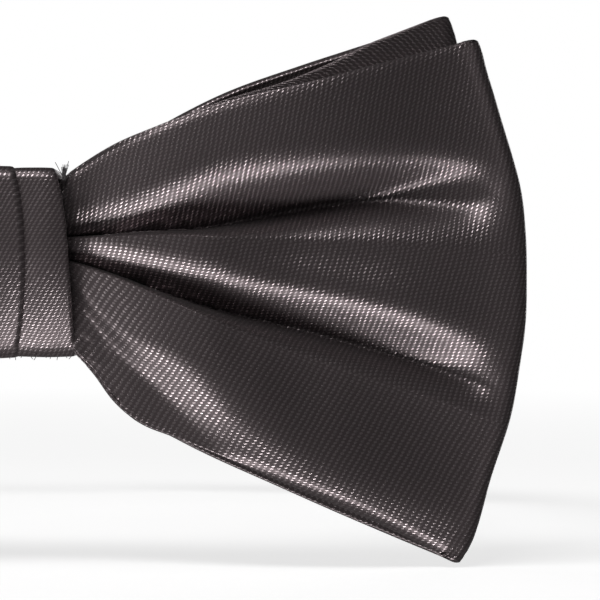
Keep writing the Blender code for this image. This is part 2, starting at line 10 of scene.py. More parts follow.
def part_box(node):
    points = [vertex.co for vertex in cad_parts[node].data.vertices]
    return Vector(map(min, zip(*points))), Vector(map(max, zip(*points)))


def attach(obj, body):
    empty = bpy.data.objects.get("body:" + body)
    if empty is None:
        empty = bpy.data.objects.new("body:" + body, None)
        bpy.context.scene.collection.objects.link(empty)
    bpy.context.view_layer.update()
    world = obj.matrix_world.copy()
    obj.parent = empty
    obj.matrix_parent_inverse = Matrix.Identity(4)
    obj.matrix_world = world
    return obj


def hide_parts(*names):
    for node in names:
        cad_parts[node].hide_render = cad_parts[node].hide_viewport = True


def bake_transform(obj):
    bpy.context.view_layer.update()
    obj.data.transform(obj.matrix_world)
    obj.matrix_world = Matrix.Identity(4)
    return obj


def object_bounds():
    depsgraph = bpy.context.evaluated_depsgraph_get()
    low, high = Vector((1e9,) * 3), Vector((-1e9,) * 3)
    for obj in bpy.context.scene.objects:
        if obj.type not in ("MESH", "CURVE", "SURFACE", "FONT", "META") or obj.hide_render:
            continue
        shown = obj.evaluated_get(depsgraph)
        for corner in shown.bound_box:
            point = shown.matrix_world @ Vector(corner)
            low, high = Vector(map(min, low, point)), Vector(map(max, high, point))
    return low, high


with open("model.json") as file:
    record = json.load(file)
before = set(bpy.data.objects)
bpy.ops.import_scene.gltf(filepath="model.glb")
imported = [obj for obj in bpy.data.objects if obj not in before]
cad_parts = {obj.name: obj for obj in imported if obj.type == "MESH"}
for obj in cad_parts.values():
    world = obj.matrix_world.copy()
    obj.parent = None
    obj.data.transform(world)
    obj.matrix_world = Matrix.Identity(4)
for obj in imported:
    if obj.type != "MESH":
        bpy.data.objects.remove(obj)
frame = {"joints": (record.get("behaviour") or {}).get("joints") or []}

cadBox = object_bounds()
mm = 0.001


# small helpers

def smooth(t):
    t = np.clip(t, 0.0, 1.0)
    return t * t * (3 - 2 * t)


def through(points):
    # a soft curve through a few (x, value) pairs, flat past both ends
    xs, ys = np.array(points, float).T
    slopes = np.gradient(ys, xs)

    def at(x):
        x = np.clip(x, xs[0], xs[-1])
        i = np.clip(np.searchsorted(xs, x) - 1, 0, len(xs) - 2)
        gap = xs[i + 1] - xs[i]
        t = (x - xs[i]) / gap
        low = (1 + 2 * t) * (1 - t) ** 2 * ys[i] + t * (1 - t) ** 2 * gap * slopes[i]
        return low + t * t * (3 - 2 * t) * ys[i + 1] - t * t * (1 - t) * gap * slopes[i + 1]

    return at


def softMax(a, b, room):
    return (a + b + np.sqrt((a - b) ** 2 + room * room)) / 2


def unit(vectors):
    return vectors / np.maximum(np.linalg.norm(vectors, axis=-1, keepdims=True), 1e-12)


def newObject(name, data, material):
    made = bpy.data.objects.new(name, data)
    bpy.context.scene.collection.objects.link(made)
    data.materials.append(material)
    return made


def gridMesh(name, points, corners, material, closedAcross=True, closedAlong=True):
    # points[along, across] as a mesh, with the cloth's own (along, across) place of each face corner
    long, wide = points.shape[:2]
    i = np.arange(long if closedAlong else long - 1)
    k = np.arange(wide if closedAcross else wide - 1)
    i, k = [a.ravel() for a in np.meshgrid(i, k, indexing="ij")]
    i2, k2 = (i + 1) % long, (k + 1) % wide
    faces = np.stack([i * wide + k, i2 * wide + k, i2 * wide + k2, i * wide + k2], 1)
    mesh = bpy.data.meshes.new(name)
    mesh.from_pydata(points.reshape(-1, 3).tolist(), [], faces.tolist())
    uv = mesh.uv_layers.new(name="cloth")
    places = corners(i, k, i2, k2)
    uv.data.foreach_set("uv", places.astype(np.float32).ravel())
    mesh.shade_smooth()
    made = newObject(name, mesh, material)
    volume = sum(a.dot(b.cross(c)) for a, b, c in (
        [mesh.vertices[v].co for v in f.vertices[:3]] for f in list(mesh.polygons)[::7]))
    if volume < 0:
        mesh.flip_normals()
    return made


def thickSheet(name, middle, cloth, thickness, material, closed=True, seams=(), outside=0.5, thin=1.0):
    # a sheet of cloth with round edges, from its middle surface middle[along, across]
    # cloth[along, across] is the flat place of each point
    # seams are rows where that place jumps, each with the place after it
    # outside is the share of the thickness that lies on the outer side of the surface given
    # thin is 1 where the cloth has its full thickness
    along = np.roll(middle, -1, 0) - np.roll(middle, 1, 0)
    if not closed:
        along[0] = middle[1] - middle[0]
        along[-1] = middle[-1] - middle[-2]
    across = np.gradient(middle, axis=1)
    normal = np.cross(along, across)
    square = np.linalg.norm(normal, axis=2) / (np.linalg.norm(along, axis=2) * np.linalg.norm(across, axis=2))
    normal = unit(normal)
    step = np.linalg.norm(np.diff(middle, axis=1), axis=2)
    fromLow = np.concatenate([np.zeros((len(middle), 1)), np.cumsum(step, 1)], 1)
    fromEdge = np.minimum(fromLow, fromLow[:, -1:] - fromLow)
    half = thickness / 2
    offset = half * np.sqrt(np.clip(1 - (1 - np.clip(fromEdge / half, 0, 1)) ** 2, 0, 1))
    offset = offset * smooth(square / 0.7) * thin
    if not closed:
        ends = np.concatenate([[0.0], np.cumsum(np.linalg.norm(np.diff(middle, axis=0), axis=2).mean(1))])
        fromEnd = np.minimum(ends, ends[-1] - ends)
        offset = offset * np.sqrt(np.clip(1 - (1 - np.clip(fromEnd / half, 0, 1)) ** 2, 0.04, 1))[:, None]
    offset = offset[..., None]
    rows = middle.shape[1]
    outer = middle + normal * offset * 2 * outside
    inner = (middle - normal * offset * 2 * (1 - outside))[:, rows - 2:0:-1]
    points = np.concatenate([outer, inner], 1)
    rowOf = np.concatenate([np.arange(rows), np.arange(rows - 2, 0, -1)])
    after = cloth.copy()
    for row, places in seams:
        after[:, row] = places

    def corners(i, k, i2, k2):
        a, b = rowOf[k], rowOf[k2]
        low = np.minimum(a, b)[:, None]

        def place(column, row):
            above = (row[:, None] == low)
            return np.where(above, after[column, row], cloth[column, row])

        wrapped = i2 < i
        far = np.where(wrapped[:, None], 2 * place(i, a) - place(i - 1, a), place(i2, a))
        farUp = np.where(wrapped[:, None], 2 * place(i, b) - place(i - 1, b), place(i2, b))
        return np.stack([place(i, a), far, farUp, place(i, b)], 1)

    made = gridMesh(name, points * mm, corners, material, True, closed)
    if not closed:
        addEnds(made, points.shape[1], len(points))
    return made


def addEnds(piece, wide, long):
    # closes both ends of an open sheet, which have drawn in to almost nothing
    builder = bmesh.new()
    builder.from_mesh(piece.data)
    builder.verts.ensure_lookup_table()
    for start in (0, (long - 1) * wide):
        ring = [builder.verts[start + k] for k in range(wide)]
        half = wide // 2
        for k in range(half):
            corners = [ring[k], ring[k + 1], ring[(wide - k - 1) % wide], ring[(wide - k) % wide]]
            unique = list(dict.fromkeys(corners))
            if len(unique) > 2:
                builder.faces.new(unique)
    bmesh.ops.recalc_face_normals(builder, faces=builder.faces)
    builder.to_mesh(piece.data)
    builder.free()


# shader building

class Wire:
    # one socket; sums on it become Math nodes
    def __init__(self, paint, socket):
        self.paint = paint
        self.socket = socket

    def math(self, kind, *values):
        return self.paint.node("ShaderNodeMath", {"operation": kind}, dict(enumerate(values)))

    def __add__(self, other):
        return self.math("ADD", self, other)

    def __radd__(self, other):
        return self.math("ADD", other, self)

    def __sub__(self, other):
        return self.math("SUBTRACT", self, other)

    def __rsub__(self, other):
        return self.math("SUBTRACT", other, self)

    def __mul__(self, other):
        return self.math("MULTIPLY", self, other)

    def __rmul__(self, other):
        return self.math("MULTIPLY", other, self)

    def __truediv__(self, other):
        return self.math("DIVIDE", self, other)

    def __rtruediv__(self, other):
        return self.math("DIVIDE", other, self)

    def __pow__(self, other):
        return self.math("POWER", self, other)

    def floor(self):
        return self.math("FLOOR", self)

    def fraction(self):
        return self.math("FRACT", self)

    def clamped(self, low=0.0, high=1.0):
        return self.math("MINIMUM", self.math("MAXIMUM", self, low), high)


class Paint:
    # one material and the nodes in it
    def __init__(self, name, **numbers):
        self.material = bpy.data.materials.new(name)
        self.material.use_nodes = True
        self.tree = self.material.node_tree
        self.shader = self.tree.nodes["Principled BSDF"]
        for socket, value in numbers.items():
            self.shader.inputs[socket.replace("_", " ")].default_value = value

    def node(self, kind, settings=None, inputs=None, out=0):
        made = self.tree.nodes.new(kind)
        for key, value in (settings or {}).items():
            if key == "stops":
                ramp = made.color_ramp.elements
                while len(ramp) < len(value):
                    ramp.new(1.0)
                for stop, (place, colour) in zip(ramp, value):
                    stop.position = place
                    stop.color = (*colour, 1.0)
            else:
                setattr(made, key, value)
        for key, value in (inputs or {}).items():
            if isinstance(value, Wire):
                self.tree.links.new(value.socket, made.inputs[key])
            else:
                made.inputs[key].default_value = value
        return Wire(self, made.outputs[out])

    def mix(self, factor, first, second):
        return self.node("ShaderNodeMix", {"data_type": "RGBA"}, {0: factor, 6: first, 7: second}, 2)

    def noise(self, place, scale, detail=2.0, rough=0.5):
        return self.node("ShaderNodeTexNoise", {}, {"Vector": place, "Scale": scale, "Detail": detail,
                                                    "Roughness": rough}, 0)

    def combine(self, x, y, z=0.0):
        return self.node("ShaderNodeCombineXYZ", {}, {0: x, 1: y, 2: z})

    def parts(self, vector):
        split = self.tree.nodes.new("ShaderNodeSeparateXYZ")
        self.tree.links.new(vector.socket, split.inputs[0])
        return [Wire(self, out) for out in split.outputs]

    def position(self):
        return self.node("ShaderNodeTexCoord", {}, {}, 3)

    def put(self, **links):
        for socket, wire in links.items():
            self.tree.links.new(wire.socket, self.shader.inputs[socket.replace("_", " ")])

    def bump(self, height, distance, strength=1.0):
        return self.node("ShaderNodeBump", {}, {"Height": height, "Distance": distance, "Strength": strength})


satin = {
    "column": 0.53,  # mm between columns of floats
    "float": 0.45,  # mm from one float to the next up a column
    "shift": 0.36,  # share of a float by which the next column is higher
    "lean": 28.0,  # degrees that a float leans off its column
    "halfWidth": 0.11,
    "halfLength": 0.225,
    "relief": 0.012,
    "rough": 0.23,  # on the floats; the ground between them is duller
    "knotRough": 0.28,
    "duller": 0.14,
    "metal": (0.60, 0.31),  # of the ground, and how much more on the floats
    "fleck": (0.45, 0.75),  # least brightness of a float, and how much it varies
    "drift": (0.25, 0.2),  # mm that columns and floats wander
    "light": (0.41, 0.352, 0.362),
    "dark": (0.094, 0.076, 0.079),
    "knotTurn": 29.0,  # degrees
    "knotFine": 1.18,
}


def satinMaterial(name, rough, turn=0.0, fine=1.0):
    # warp-faced satin twill: leaning floats in columns, each a little different from the next
    paint = Paint(name, Sheen_Weight=0.04, Sheen_Roughness=0.5, Specular_IOR_Level=0.3)
    along, across, _ = paint.parts(paint.node("ShaderNodeUVMap", {"uv_map": "cloth"}))
    along, across = along * (1000.0 * fine), across * (1000.0 * fine)
    drift = paint.noise(paint.combine(along, across), 0.35, 1.0) - 0.5
    c, s = math.cos(math.radians(turn)), math.sin(math.radians(turn))
    u = along * c - across * s + drift * satin["drift"][0]
    v = along * s + across * c + drift * satin["drift"][1]
    column = u / satin["column"]
    row = v / satin["float"] + column.floor() * satin["shift"]
    x = (column.fraction() - 0.5) * satin["column"]
    y = (row.fraction() - 0.5) * satin["float"]
    c, s = math.cos(math.radians(satin["lean"])), math.sin(math.radians(satin["lean"]))
    a = (x * c - y * s) / satin["halfWidth"]
    b = (x * s + y * c) / satin["halfLength"]
    body = (1.0 - (a * a + b * b * b * b)).clamped()
    fleck = paint.node("ShaderNodeTexWhiteNoise", {"noise_dimensions": "2D"},
                       {"Vector": paint.combine(column.floor(), row.floor())}, 0)
    thread = (body * 2.0).clamped()
    shine = (thread * (satin["fleck"][0] + fleck * satin["fleck"][1])).clamped()
    paint.put(Base_Color=paint.mix(shine, (*satin["dark"], 1.0), (*satin["light"], 1.0)))
    paint.put(Metallic=shine * satin["metal"][1] + satin["metal"][0])
    paint.put(Roughness=(rough + satin["duller"]) - shine * satin["duller"])
    paint.put(Normal=paint.bump(body + fleck * body * 0.6, satin["relief"] * mm))
    return paint.material


def interliningMaterial(name, colour):
    # pressed fibres with no weave
    paint = Paint(name, Roughness=0.9, Sheen_Weight=0.2)
    place = paint.position()
    fibres = paint.noise(place, 2600.0, 4.0, 0.7)
    clouds = paint.noise(place, 220.0, 3.0)
    dark = tuple(c * 0.72 for c in colour)
    pale = (fibres * 0.8 + clouds * 0.4 - 0.1).clamped()
    paint.put(Base_Color=paint.mix(pale, (*dark, 1.0), (*colour, 1.0)))
    paint.put(Normal=paint.bump(fibres, 0.12 * mm))
    return paint.material


def threadMaterial(name, colour, twist=1700.0):
    # plied sewing thread, with painted shade in the grooves between the plies
    paint = Paint(name, Roughness=0.5, Sheen_Weight=0.25)
    x, y, z = paint.parts(paint.position())
    strand = ((x + y) * twist + z * twist * 1.3).fraction()
    ply = (strand - 0.5) * (strand - 0.5) * 4.0
    dark = tuple(c * 0.45 for c in colour)
    # darker towards each ply's edges: painted shade in the grooves between the plies
    paint.put(Base_Color=paint.mix(ply.clamped(), (*colour, 1.0), (*dark, 1.0)))
    paint.put(Normal=paint.bump(1.0 - ply, 0.05 * mm))
    return paint.material


def nickelMaterial(name, colour):
    # stamped and plated steel with rubbed edges and faint scratches
    paint = Paint(name, Metallic=1.0)
    place = paint.position()
    x, y, z = paint.parts(place)
    scratches = paint.noise(paint.combine(x * 900.0, y * 900.0, z * 9000.0), 1.0, 3.0, 0.6)
    stains = paint.noise(place, 160.0, 4.0)
    worn = paint.node("ShaderNodeNewGeometry", {}, {}, 7)
    edge = ((worn - 0.5) * 6.0).clamped()
    dull = tuple(c * 0.72 for c in colour)
    base = paint.mix(stains, (*dull, 1.0), (*colour, 1.0))
    paint.put(Base_Color=paint.mix(edge * 0.6, base, (0.80, 0.78, 0.75, 1.0)))
    paint.put(Roughness=0.16 + scratches * 0.16 + stains * 0.10)
    paint.put(Normal=paint.bump(scratches, 0.008 * mm))
    return paint.material


bowSatin = satinMaterial("bowSatin", satin["rough"])
knotSatin = satinMaterial("knotSatin", satin["knotRough"], satin["knotTurn"], satin["knotFine"])
bandSatin = satinMaterial("bandSatin", satin["rough"])
stiffening = interliningMaterial("stiffening", (0.60, 0.58, 0.54))
sewingThread = threadMaterial("sewingThread", (0.10, 0.092, 0.095))
nickel = nickelMaterial("nickel", (0.62, 0.61, 0.59))
print("materials made")


# the bows

knotLow, knotHigh = [Vector(c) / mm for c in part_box("knot_wrap")]
frontHigh = Vector(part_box("front_bow")[1]) / mm
backLow = Vector(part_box("back_bow")[0]) / mm
leaf = 0.8  # mm, the cloth's thickness

frontBow = {
    "node": "front_bow",
    "flatY": frontHigh.y - leaf / 2,
    "towards": -1,
    "gap": 1.8,  # mm between the two leaves at the knot
    "puff": 6.6,  # mm more at the fullest
    "puffPower": 0.95,
    "outside": 0.12,  # share of the cloth's thickness that lies in front of these heights
    "crumple": {"at": (11.2, -9.6), "spread": 3.0, "size": 0.8},  # the pinched cloth below the knot
    "kick": 3.4,  # mm that the cloth springs forward just past the knot
    "fold": 1.5,  # mm, the radius of the turn at the tip
    "corner": 0.8,
    "rows": (34, 34, 36),  # in the lower, middle and upper lobe
    "columns": (92, 9, 40),  # on the puffed leaf, round the tip and on the flat leaf
    # (x, z) along each edge and crease, and (z, x) up the tip
    "top": [(0, 8.0), (7.4, 8.1), (8.9, 9.5), (11.6, 11.4), (14.2, 12.9), (19.1, 14.9), (23.5, 16.5),
            (28.6, 18.0), (34.9, 19.5), (44.0, 22.0), (54.7, 25.0)],
    "upper": [(0, 2.3), (9.6, 2.6), (19.3, 2.95), (28.3, 2.6), (37.6, 2.2), (49.5, 1.6), (60.0, 0.8)],
    "lower": [(0, 0.0), (9.8, -0.1), (12.5, -0.9), (15.0, -1.8), (21.8, -4.7), (29.5, -8.0), (36.6, -10.7),
              (47.5, -14.3), (58.2, -18.2)],
    "bottom": [(0, -8.0), (8.6, -8.2), (10.2, -9.9), (12.1, -11.9), (14.5, -15.1), (16.7, -17.1),
               (21.1, -19.6), (32.7, -25.0), (44.4, -30.1), (52.6, -33.5)],
    "tip": [(-33.5, 52.6), (-29.0, 54.6), (-24.4, 56.0), (-16.7, 58.3), (-11.4, 59.2), (-6.1, 59.9),
            (-1.8, 60.0), (3.0, 59.9), (8.4, 59.3), (11.8, 58.4), (16.6, 56.9), (21.3, 55.5), (25.0, 54.7)],
    # mm by which the nearer leaf's edges draw in, by x
    "nearTop": [(0, 0), (60, 0)],
    "nearBottom": [(0, 0), (16, 0), (24, 0.9), (32, 1.1), (44, 1.0), (50, 0.4), (53, 0)],
    "upperFold": {
        "valley": [(7, 0.15), (15, 0.3), (20, 0.5), (24, 0.9), (28, 1.8), (33, 3.0), (39, 4.3), (46, 5.4),
                   (60, 6.6)],
        "shoulder": [(7, 0.4), (10, 0.55), (13, 0.8), (16, 1.4), (20, 3.0), (25, 5.1), (35, 7.4), (45, 9.1),
                     (60, 10.4)],
        "depth": [(0, 0.4), (8, 1.2), (11, 1.7), (15, 2.5), (20, 4.2), (24, 5.8), (34, 7.4), (44, 6.4),
                  (50, 4.8), (54, 3.0), (57.8, 0)],
        "step": [(0, 0), (20, 0), (24, 0.5), (29, 2.2), (35, 3.5), (40, 3.2), (46, 2.1), (51, 1.1),
                 (57.5, 0)],
        "recover": [(0, 5.0), (24, 9.0), (36, 13.0), (57, 13.0)],
        "bend": [(8, 0.7), (18, 0.6), (28, 0.4), (40, 0.3)],
        "soft": [(8, 0.8), (14, 0.7), (20, 0.45), (26, 0.3), (40, 0.24)],
        "lean": 4.0,
    },
    "lowerFold": {
        "valley": [(7, 0.15), (15, 0.25), (20, 0.5), (24, 0.9), (28, 1.5), (33, 2.3), (45, 3.2), (60, 4.0)],
        "shoulder": [(7, 0.4), (10, 0.55), (13, 0.9), (16, 1.6), (20, 2.8), (25, 4.2), (30, 5.6), (35, 6.8),
                     (60, 8.3)],
        "depth": [(0, 0.4), (8, 1.1), (11, 1.6), (15, 2.3), (20, 3.9), (24, 5.3), (34, 6.8), (44, 5.8),
                  (50, 4.2), (54, 2.5), (57.5, 0)],
        "step": [(0, 0), (20, 0), (24, 0.5), (29, 2.2), (35, 3.4), (40, 3.2), (46, 2.4), (51, 1.4),
                 (57.5, 0)],
        "recover": [(0, 5.0), (24, 9.0), (36, 13.0), (57, 13.0)],
        "bend": [(8, 0.7), (18, 0.6), (28, 0.4), (40, 0.3)],
        "soft": [(8, 0.8), (14, 0.65), (20, 0.4), (26, 0.28), (40, 0.24)],
        "lean": 3.0,
    },
    # where the lower lobe rolls away, over what half width and how far, by x
    "fallLine": [(0, -1.6), (10, -2.7), (12.4, -5.8), (16, -9.4), (20, -12.0), (24.3, -14.8), (30, -18.4),
                 (38, -22.0), (60, -26.0)],
    "fallHalf": [(0, 0.8), (8, 0.8), (10, 1.0), (12, 1.2), (16, 1.9), (20, 3.3), (26, 5.2), (34, 7.5),
                 (46, 9.0)],
    "fall": [(0, 0.4), (8, 0.6), (10, 0.7), (12, 0.95), (16, 1.45), (20, 2.3), (26, 2.7), (34, 2.6),
             (42, 1.7), (50, 0.7), (57, 0.0)],
    "topRoll": [(0, 0), (8, 0.4), (14, 1.0), (24, 0.8), (36, 0.4), (52, 0.1), (60, 0)],
    "rimTop": [(0, 0), (8, 0.5), (14, 0.6), (20, 0.35), (30, 0.15), (60, 0.1)],
    "rimBottom": [(0, 0), (24, 0.05), (28, 0.3), (34, 0.8), (50, 0.8), (56, 0.3)],
}
backBow = {
    "node": "back_bow",
    "flatY": backLow.y + leaf / 2,
    "towards": 1,
    "gap": 1.8,
    "puff": 3.6,
    "kick": 0.3,
    "puffPower": 1.0,
    "outside": 0.88,
    "fold": 1.3,
    "corner": 0.8,
    "rows": (26, 22, 26),
    "columns": (64, 8, 40),
    "top": [(0, 8.0), (7.4, 8.1), (8.9, 9.5), (11.6, 11.2), (17.1, 14.4), (26.1, 19.2), (34.9, 22.4),
            (40.6, 24.2), (46.6, 26.1), (51.6, 27.9)],
    "upper": [(0, 2.4), (20, 4.0), (57, 5.0)],
    "lower": [(0, -1.0), (20, -4.0), (56, -10.0)],
    "bottom": [(0, -8.0), (8.6, -8.2), (12.1, -10.8), (21.1, -17.6), (32.7, -23.0), (49.5, -30.4)],
    "tip": [(-30.4, 49.5), (-20.0, 53.6), (-10.0, 56.0), (0.0, 56.5), (10.0, 55.6), (20.0, 53.5),
            (27.9, 51.6)],
    "nearTop": [(0, 0), (17, 0), (26, 1.0), (33, 1.5), (38, 1.1), (43, 0.2), (46, 0), (60, 0)],
    "nearBottom": [(0, 0), (60, 0)],
    "upperFold": {
        "valley": [(7, 0.3), (20, 1.4), (60, 4.0)],
        "shoulder": [(7, 0.6), (20, 3.2), (60, 7.5)],
        "depth": [(0, 0.3), (9, 0.6), (18, 1.2), (30, 1.6), (44, 0.8), (54, 0.0)],
        "step": [(0, 0), (20, 0.4), (44, 0.4), (54, 0)],
        "recover": [(0, 3.0), (60, 9.0)],
        "bend": [(8, 0.5), (40, 0.5)],
        "soft": [(8, 0.4), (40, 0.4)],
        "lean": 5.0,
    },
    "lowerFold": {
        "valley": [(7, 0.3), (20, 1.2), (60, 3.6)],
        "shoulder": [(7, 0.6), (20, 3.0), (60, 7.0)],
        "depth": [(0, 0.3), (9, 0.6), (18, 1.2), (30, 1.5), (44, 0.7), (54, 0.0)],
        "step": [(0, 0), (20, 0.4), (44, 0.4), (54, 0)],
        "recover": [(0, 3.0), (60, 9.0)],
        "bend": [(8, 0.5), (40, 0.5)],
        "soft": [(8, 0.4), (40, 0.4)],
        "lean": 5.0,
    },
    "fallLine": [(0, -4.0), (20, -11.0), (38, -18.0), (60, -24.0)],
    "fallHalf": [(0, 3.0), (20, 5.0), (40, 7.0)],
    "fall": [(0, 0), (10, 0.3), (22, 1.0), (38, 0.8), (50, 0.0)],
    "topRoll": [(0, 0), (10, 0.2), (22, 0.8), (38, 0.6), (50, 0.0)],
    "rimTop": [(0, 0), (10, 0.3), (50, 0.3)],
    "rimBottom": [(0, 0), (10, 0.3), (50, 0.3)],
}
edgeRows = (0.0, 0.05, 0.15, 0.28, 0.4)  # mm in from a leaf's edge
lines = ("bottom", "lower", "upper", "top")  # the leaf's two edges and the two creases between them
rimWidth = 1.3  # mm of each edge that rolls over
grain = (27.0, 16.0, 11.0)  # degrees that the weave leans in the lower, middle and upper lobe


def foldDepth(up, x, fold):
    # how far the cloth drops above a crease: a slope into a valley, a steep wall and a tight shoulder
    valley, shoulder = through(fold["valley"])(x), through(fold["shoulder"])(x)
    depth, step = through(fold["depth"])(x), through(fold["step"])(x)
    near = np.clip(up / valley, 0, 1)
    falling = step + (depth - step) * near ** 1.9
    t = (up - valley) / (shoulder - valley)
    foot, bend = 0.35, through(fold["bend"])(x)
    wall = 0.5 * (1 + np.hypot(1 - t, bend) - np.hypot(t, foot)) + 0.5 * foot - 0.5 * (np.hypot(1, bend) - 1)
    lean = 1 - smooth((up - valley) / (shoulder - valley + fold["lean"]))
    soft = through(fold["soft"])(x)
    rising = depth * ((1 - soft) * np.clip(wall, 0, 1) + soft * lean)
    rising = np.minimum(rising, depth)
    return np.where(up < valley, falling, rising)


def stepBelow(down, x, fold):
    # below a crease the cloth comes forward again from the crease's own level
    return through(fold["step"])(x) * (1 - smooth(down / through(fold["recover"])(x)))


def bowRows(counts):
    # the rows across a leaf: which lobe, the share of its height, and mm in from the leaf's edge
    rows = [(0, 0.0, inset) for inset in edgeRows]
    for lobe, count in enumerate(counts):
        power = 1.0 if lobe == 0 else 1.45
        for i in range(0 if lobe else 1, count):
            rows.append((lobe, (i / count) ** power, 0.0))
    rows += [(2, 1.0, -inset) for inset in edgeRows[::-1]]
    return rows


def leafPoint(bow, share, row, near):
    # x and z across the leaf at a share of the way to the tip fold, for every row
    lobe = np.array([r[0] for r in row])
    t = np.array([r[1] for r in row])
    inset = np.array([r[2] for r in row])
    ends = np.array([bow[key][-1][1] for key in lines])
    tip = through(bow["tip"])
    endZ = ends[lobe] + (ends[lobe + 1] - ends[lobe]) * t + inset
    fromCorner = np.clip(np.minimum(endZ - ends[0], ends[3] - endZ), 0, bow["corner"])
    cut = bow["corner"] - np.sqrt(bow["corner"] ** 2 - (bow["corner"] - fromCorner) ** 2)
    reach = tip(endZ) - cut - bow["fold"]
    # the rows' own x at this share: kept inside the knot first, then spread to the fold
    x = reach * share
    level = np.array([through(bow[key])(x) for key in lines])
    if near:
        level[0] += through(bow["nearBottom"])(x)
        level[3] -= through(bow["nearTop"])(x)
    index = np.arange(len(row))
    low, high = level[lobe, index], level[lobe + 1, index]
    z = low + (high - low) * t + inset
    return x, z, reach, lobe, t, level


def bowSurface(bow):
    row = bowRows(bow["rows"])
    front, fold, back = bow["columns"]
    start = knotHigh.x
    shares = np.concatenate([np.linspace(0, 0.13, 10), np.linspace(0.13, 1, front - 9)[1:]])
    puffed = []
    for share in shares:
        isNear = bow["towards"] < 0
        x, z, reach, lobe, t, level = leafPoint(bow, share, row, isNear)
        out = np.clip((x - start) / (reach - start), 0, 1)
        depth = bow["gap"] + (2 * bow["fold"] - bow["gap"]) * out
        depth = depth + bow["puff"] * np.sin(np.pi * out ** bow["puffPower"]) ** 1.25
        depth = depth + bow["kick"] * smooth((x - 7.2) / 2.8) * (1 - out)
        index = np.arange(len(row))
        for crease, trough in ((2, bow["upperFold"]), (1, bow["lowerFold"])):
            up = z - level[crease, index]
            inFold = foldDepth(up, x, trough)
            depth = depth - np.where(lobe >= crease, inFold, stepBelow(-up, x, trough))
        half = through(bow["fallHalf"])(x)
        below = smooth((through(bow["fallLine"])(x) + half - z) / (2 * half))
        depth = depth - np.where(lobe == 0, through(bow["fall"])(x) * below, 0.0)
        for edge, towardsEdge in (("rimBottom", z - level[0, index]), ("rimTop", level[3, index] - z)):
            depth = depth - through(bow[edge])(x) * np.clip(1 - towardsEdge / rimWidth, 0, 1) ** 2
        depth = depth - np.where(lobe == 2, through(bow["topRoll"])(x) * t ** 2, 0.0)
        depth = softMax(depth, 1.5 + 0.3 * out, 0.35)
        if "crumple" in bow:
            pinch = bow["crumple"]
            near = np.exp(-((x - pinch["at"][0]) ** 2 + (z - pinch["at"][1]) ** 2) / pinch["spread"])
            crumple = np.array([noise.noise((a * 1.1, b * 1.3, 5.0)) for a, b in zip(x, z)])
            depth = depth + near * crumple * pinch["size"]
        wave = np.array([noise.noise((a * 0.11, b * 0.13, 2.0 * bow["towards"])) for a, b in zip(x, z)])
        depth = depth + wave * 0.45 * out * (1 - out) * 2
        puffed.append(np.stack([x, bow["flatY"] + bow["towards"] * depth, z], 1))
    puffed = np.array(puffed)
    turned = []
    for step in range(1, fold):
        angle = math.pi * step / fold
        before, lowZ, *_ = leafPoint(bow, 0.97, row, bow["towards"] < 0)
        x, z, reach, *_ = leafPoint(bow, 1.0, row, bow["towards"] < 0)
        _, farZ, *_ = leafPoint(bow, 1.0, row, bow["towards"] > 0)
        slope = (z - lowZ) / (x - before)
        z = z + (farZ - z) * step / fold + slope * bow["fold"] * math.sin(angle)
        x = reach + bow["fold"] * math.sin(angle)
        y = bow["flatY"] + bow["towards"] * bow["fold"] * (1 + math.cos(angle))
        turned.append(np.stack([x, np.full(len(x), y), z], 1))
    flat = []
    for share in np.linspace(1, 0, back):
        x, z, *_ = leafPoint(bow, share, row, bow["towards"] > 0)
        wave = np.array([noise.noise((a * 0.09, b * 0.1, 7.0)) for a, b in zip(x, z)])
        y = bow["flatY"] + bow["towards"] * np.abs(wave) * 0.25 * min(share * 4, 1)
        flat.append(np.stack([x, y, z], 1))
    right = np.concatenate([puffed, np.array(turned), np.array(flat)], 0)
    left = right[-2:0:-1] * np.array([-1, 1, 1])
    return right, left, row


def clothPlaces(bow, right, row):
    # each point's place on the flat cloth: along from the middle, across from its lobe's middle
    move = np.diff(right, axis=0)
    front, fold, _ = bow["columns"]
    step = np.abs(move[..., 0])
    step[front - 1:front + fold] = np.linalg.norm(move[front - 1:front + fold], axis=2)
    along = np.concatenate([np.zeros((1, right.shape[1])), np.cumsum(step, 0)], 0)
    lobe = np.array([r[0] for r in row])
    rise = np.linalg.norm(np.diff(right, axis=1), axis=2)
    climb = np.concatenate([np.zeros((len(right), 1)), np.cumsum(rise, 1)], 1)
    places, seams = np.zeros((*along.shape, 2)), []
    for k in range(3):
        rows = np.where(lobe == k)[0]
        last = rows[-1] + 1 if k < 2 else rows[-1]
        across = climb - (climb[:, rows[0]] + climb[:, last])[:, None] / 2
        c, s = math.cos(math.radians(grain[k])), math.sin(math.radians(grain[k]))
        place = np.stack([along * c - across * s, along * s + across * c + 40.0 * (k - 1)], 2)
        if k:
            seams.append((rows[0], place[:, rows[0]].copy()))
        first = rows[0] + 1 if k else 0
        places[:, first:last + 1] = place[:, first:last + 1]
    return places, seams


